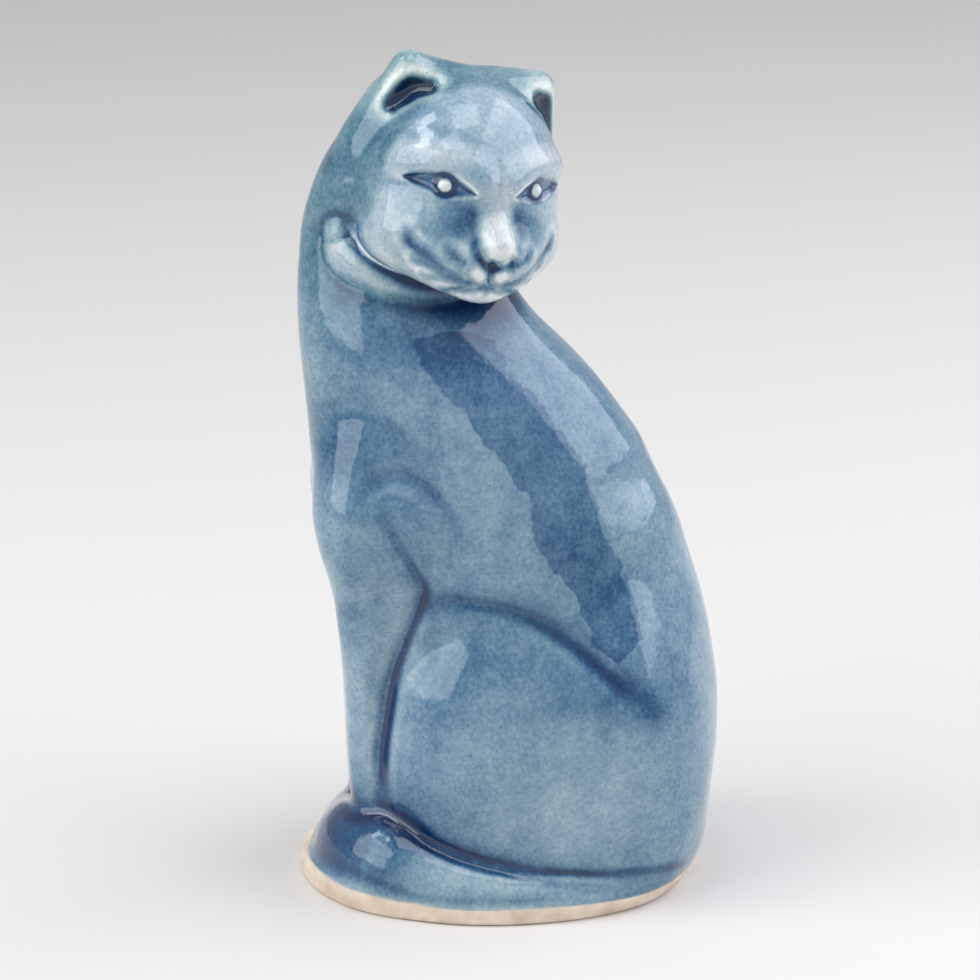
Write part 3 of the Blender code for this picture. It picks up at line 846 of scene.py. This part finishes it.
def skinned():
    """The skin in two groups, each with the parts that it may hold and the usual one: the head's is finer."""
    grid = sampled(figure, LOW, HIGH, STEPS)
    points, quads = surface_net(grid, LOW, STEPS[-1])
    for _ in range(3):
        points = project(figure, relaxed(points, quads), 1)
    points[np.abs(points[:, 2] - FOOT_TOP) < STEPS[-1] * .5, 2] = FOOT_TOP
    quads = quads[~over_bore(points[quads].mean(1))]
    upper = np.isin(part_of(points[quads].mean(1)), numbers(HEAD_PARTS))
    upper = settled(upper, quads).astype(bool)
    used, lower_quads = compact(quads[~upper])
    lower = (points[used], lower_quads, LOWER_PARTS, "body_casting")
    used, upper_quads = compact(quads[upper])
    fine, fine_quads, border = subdivided(points[used], upper_quads)
    moved = project(figure, fine, 2)
    moved[border] = fine[border]
    return lower, (moved, fine_quads, HEAD_PARTS, "head_casting")


def build_figure():
    """Cuts the skin along the parts' joins, and makes each part one closed shell."""
    made = {}
    for points, quads, allowed, usual in skinned():
        _, slope = gradient(figure, points, .08)
        normals = slope / np.maximum(np.linalg.norm(slope, axis=1, keepdims=True), 1e-9)
        measures = glaze_measures(points, normals)
        label = part_of(points[quads].mean(1))
        label[~np.isin(label, numbers(allowed))] = PARTS.index(usual)
        label = settled(label, quads)
        for number in np.unique(label):
            name = PARTS[number]
            used, own = compact(quads[label == number])
            solid = shell(points[used], normals[used], own, THIN_WALL if name in THIN_PARTS else WALL)
            own_measures = {key: values[used] for key, values in measures.items()}
            made[name] = make_mesh(name + "_glazed", *solid, len(own), own_measures)
    return made


# ---------------------------------------------------------------- materials

def node(tree, kind, **values):
    """A new node, its inputs or its settings set by name."""
    made = tree.nodes.new(kind)
    for key, value in values.items():
        if key in made.inputs:
            made.inputs[key].default_value = value
        else:
            setattr(made, key, value)
    return made


def maths(tree, operation, a, b, clamp=False):
    """One sum on two sockets or numbers."""
    made = node(tree, "ShaderNodeMath", operation=operation, use_clamp=clamp)
    for socket, value in zip(made.inputs, (a, b)):
        if isinstance(value, (int, float)):
            socket.default_value = value
        else:
            tree.links.new(value, socket)
    return made.outputs[0]


def srgb(r, g, b):
    """A linear colour from the usual 0 to 1 screen values."""
    return tuple(c / 12.92 if c <= .04045 else ((c + .055) / 1.055) ** 2.4 for c in (r, g, b)) + (1.0,)


def noise(tree, where, scale, detail):
    """Soft noise; the scale counts its cells in a metre."""
    made = node(tree, "ShaderNodeTexNoise", Scale=scale, Detail=detail, Roughness=.5)
    tree.links.new(where, made.inputs["Vector"])
    return made.outputs["Fac"]


# Thin glaze to pooled glaze, in its blue and its green cast.
BLUE_RAMP = ((0.0, srgb(.85, .87, .88)), (.20, srgb(.69, .73, .77)), (.42, srgb(.51, .61, .68)),
             (.62, srgb(.33, .47, .59)), (.80, srgb(.13, .30, .47)), (1.0, srgb(.03, .16, .33)))
TEAL_RAMP = ((0.0, srgb(.84, .87, .85)), (.20, srgb(.67, .73, .73)), (.42, srgb(.48, .60, .63)),
             (.62, srgb(.29, .45, .52)), (.80, srgb(.10, .29, .40)), (1.0, srgb(.03, .15, .27)))


CLAY_RAMP = ((.3, srgb(.80, .72, .64)), (.7, srgb(.92, .86, .79)))
PINHOLE = srgb(.07, .16, .26)
BASE_TONE = .50
# Uneven glaze, as cells in a metre, detail and weight; the runs are the same stretched down the cat.
MOTTLE = ((38, 4, .30), (330, 3, .22), (1300, 3, .34))
RUNS, RUN_STRETCH = (150, 3, .24), (1, 1, .22)


def ramp_of(tree, stops, factor):
    """A colour ramp through these stops."""
    ramp = node(tree, "ShaderNodeValToRGB")
    while len(ramp.color_ramp.elements) < len(stops):
        ramp.color_ramp.elements.new(.5)
    for element, (at, colour) in zip(ramp.color_ramp.elements, stops):
        element.position, element.color = at, colour
    tree.links.new(factor, ramp.inputs["Fac"])
    return ramp.outputs["Color"]


def mixed(tree, factor, a, b):
    """Colour a, turning to b as the factor rises."""
    made = node(tree, "ShaderNodeMix", data_type="RGBA")
    for socket, value in zip((made.inputs[0], made.inputs[6], made.inputs[7]), (factor, a, b)):
        if isinstance(value, (tuple, float)):
            socket.default_value = value
        else:
            tree.links.new(value, socket)
    return made.outputs[2]


def wobble(tree, where, scale, detail, weight):
    """Noise about nought, up to half the weight each way."""
    return maths(tree, "MULTIPLY", maths(tree, "SUBTRACT", noise(tree, where, scale, detail), .5), weight)


def measure(tree, key):
    return node(tree, "ShaderNodeAttribute", attribute_name=key).outputs["Fac"]


def glaze_tone(tree, where):
    """How thick the glaze looks, with some painted light: what was painted, what pooled, the mottle, the
    runs, and the dark band, partly thicker glaze and partly a painted reflection.
    """
    total = maths(tree, "ADD", measure(tree, "tone"), BASE_TONE)
    for name, _, pooled, worn in REACHES:
        total = maths(tree, "ADD", total, maths(tree, "MULTIPLY", measure(tree, "pool_" + name), pooled))
        total = maths(tree, "ADD", total, maths(tree, "MULTIPLY", measure(tree, "edge_" + name), -worn))
    for layer in MOTTLE:
        total = maths(tree, "ADD", total, wobble(tree, where, *layer))
    down = node(tree, "ShaderNodeMapping", Scale=RUN_STRETCH)
    tree.links.new(where, down.inputs["Vector"])
    total = maths(tree, "ADD", total, wobble(tree, down.outputs[0], *RUNS))
    edge = node(tree, "ShaderNodeMapRange", interpolation_type="SMOOTHSTEP")
    # The dark run's noisy edge, added below: partly thicker glaze, partly a painted reflection of the dark
    # surroundings.
    wobbled_run_and_reflection = maths(tree, "ADD", measure(tree, "band"), wobble(tree, where, 120, 4, .9))
    tree.links.new(wobbled_run_and_reflection, edge.inputs["Value"])
    edge.inputs["From Min"].default_value = .50
    edge.inputs["From Max"].default_value = .57
    return maths(tree, "ADD", total, maths(tree, "MULTIPLY", edge.outputs[0], .17))


def glaze_material(name):
    """Glossy blue glaze over the clay, with pinholes, and bare clay below the glaze line."""
    material = bpy.data.materials.new(name)
    material.use_nodes = True
    tree = material.node_tree
    shader = tree.nodes["Principled BSDF"]
    where = node(tree, "ShaderNodeTexCoord").outputs["Object"]
    total = glaze_tone(tree, where)
    cast = maths(tree, "MULTIPLY", measure(tree, "teal"), .8)
    cast = maths(tree, "ADD", cast, wobble(tree, where, 45, 3, 1.2))
    cast = maths(tree, "ADD", cast, .3, clamp=True)
    colour = mixed(tree, cast, ramp_of(tree, BLUE_RAMP, total), ramp_of(tree, TEAL_RAMP, total))
    cells = node(tree, "ShaderNodeTexVoronoi", Scale=620.0)
    tree.links.new(where, cells.inputs["Vector"])
    pit = maths(tree, "LESS_THAN", cells.outputs["Distance"], .10)
    colour = mixed(tree, maths(tree, "MULTIPLY", pit, .55), colour, PINHOLE)
    bare = maths(tree, "ADD", measure(tree, "bare"), 0.0, clamp=True)
    colour = mixed(tree, bare, colour, ramp_of(tree, CLAY_RAMP, noise(tree, where, 220, 5)))
    tree.links.new(colour, shader.inputs["Base Color"])
    gloss = maths(tree, "ADD", wobble(tree, where, 240, 3, .08), .09)
    tree.links.new(maths(tree, "ADD", maths(tree, "MULTIPLY", bare, .55), gloss), shader.inputs["Roughness"])
    shader.inputs["IOR"].default_value = 1.5
    shader.inputs["Coat Weight"].default_value = .25
    shader.inputs["Coat Roughness"].default_value = .03
    bump = node(tree, "ShaderNodeBump", Strength=.10, Distance=.0008)
    height = maths(tree, "SUBTRACT", noise(tree, where, 330, 3), maths(tree, "MULTIPLY", pit, .5))
    tree.links.new(height, bump.inputs["Height"])
    tree.links.new(bump.outputs[0], shader.inputs["Normal"])
    return material


def clay_material(name):
    """Fired clay with no glaze on it."""
    material = bpy.data.materials.new(name)
    material.use_nodes = True
    tree = material.node_tree
    shader = tree.nodes["Principled BSDF"]
    where = node(tree, "ShaderNodeTexCoord").outputs["Object"]
    tree.links.new(ramp_of(tree, CLAY_RAMP, noise(tree, where, 220, 5)), shader.inputs["Base Color"])
    shader.inputs["Roughness"].default_value = .7
    bump = node(tree, "ShaderNodeBump", Strength=.25, Distance=.0004)
    tree.links.new(noise(tree, where, 1800, 3), bump.inputs["Height"])
    tree.links.new(bump.outputs[0], shader.inputs["Normal"])
    return material


SLOTS = {"foot_ring": "bare_clay", "body_casting": "body_glaze", "left_foreleg": "body_glaze",
         "right_foreleg": "body_glaze", "head_casting": "face_glaze", "left_ear": "face_glaze",
         "right_ear": "face_glaze", "left_eye": "pooled_glaze", "right_eye": "pooled_glaze",
         "tail": "pooled_glaze"}


def dress(pieces):
    """Gives each piece its materials, and ties it to the CAD node that it stands for."""
    clay = clay_material("bare_clay")
    glazes = {name: glaze_material(name) for name in ("body_glaze", "face_glaze", "pooled_glaze")}
    for name, piece in pieces.items():
        slot = SLOTS[name]
        piece.data.materials.append(clay if slot == "bare_clay" else glazes[slot])
        piece.data.materials.append(clay)
        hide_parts(name)
        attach(piece, "root")


# ---------------------------------------------------------------- floor, light and camera

CAMERA_AZIMUTH, CAMERA_ELEVATION, CAMERA_DISTANCE = 86.0, 17.0, 0.65
CAMERA_LENS, CAMERA_SENSOR = 126.9, 36.0
TARGET = (0.0, -0.0034, 0.0755)
FLOOR_REACH = 3.0
# Each soft light: bearing, height angle, distance, width and height in metres, watts, colour.
LIGHTS = {
    "front": (22, 30, 1.0, (.9, .9), 6.5, (.97, .98, 1.0)),
    "back": (176, 36, 1.0, (1.25, 1.0), 9.0, (.93, .94, 1.0)),
    "window": (4, 58, .8, (.16, .22), .6, (1.0, 1.0, 1.0)),
    "top": (100, 80, 1.0, (.5, .5), 2.0, (1.0, 1.0, 1.0)),
}


def toward(azimuth, elevation, distance):
    """A place seen from the target at this bearing: 0 is in front of the cat, 90 to its left."""
    a, e = math.radians(azimuth), math.radians(elevation)
    return (TARGET[0] + distance * math.sin(a) * math.cos(e),
    TARGET[1] - distance * math.cos(a) * math.cos(e),
            TARGET[2] + distance * math.sin(e))


def aim(obj, at):
    """Turns a camera or a light to face this place."""
    obj.rotation_euler = (Vector(at) - obj.location).to_track_quat("-Z", "Y").to_euler()


def soft_light(name, azimuth, elevation, distance, size, power, colour):
    """A rectangle of light that faces the cat."""
    light = bpy.data.lights.new(name, "AREA")
    light.shape = "RECTANGLE"
    light.size, light.size_y = size
    light.energy = power
    light.color = colour
    obj = bpy.data.objects.new(name, light)
    bpy.context.scene.collection.objects.link(obj)
    obj.location = toward(azimuth, elevation, distance)
    aim(obj, TARGET)


def make_stage():
    """The pale floor, the studio's even light and the soft lights."""
    mesh = bpy.data.meshes.new("floor")
    r = FLOOR_REACH
    mesh.from_pydata([(-r, -r, 0), (r, -r, 0), (r, r, 0), (-r, r, 0)], [], [(0, 1, 2, 3)])
    floor = bpy.data.objects.new("floor", mesh)
    bpy.context.scene.collection.objects.link(floor)
    material = bpy.data.materials.new("floor_paint")
    material.use_nodes = True
    shader = material.node_tree.nodes["Principled BSDF"]
    shader.inputs["Base Color"].default_value = srgb(.86, .85, .84)
    shader.inputs["Roughness"].default_value = .7
    mesh.materials.append(material)
    world = bpy.data.worlds.new("studio")
    world.use_nodes = True
    background = world.node_tree.nodes["Background"]
    background.inputs["Color"].default_value = srgb(.74, .75, .76)
    background.inputs["Strength"].default_value = 1.0
    bpy.context.scene.world = world
    bpy.context.scene.view_settings.view_transform = "Standard"
    for name, settings in LIGHTS.items():
        soft_light(name, *settings)


def make_camera():
    """The camera, a little above the table and nearly square on to the cat's left side."""
    data = bpy.data.cameras.new("camera")
    data.lens, data.sensor_width = CAMERA_LENS, CAMERA_SENSOR
    camera = bpy.data.objects.new("camera", data)
    bpy.context.scene.collection.objects.link(camera)
    camera.location = toward(CAMERA_AZIMUTH, CAMERA_ELEVATION, CAMERA_DISTANCE)
    aim(camera, TARGET)
    data.clip_start, data.clip_end = .05, 20
    bpy.context.scene.camera = camera


dress(build_figure())
make_stage()
make_camera()
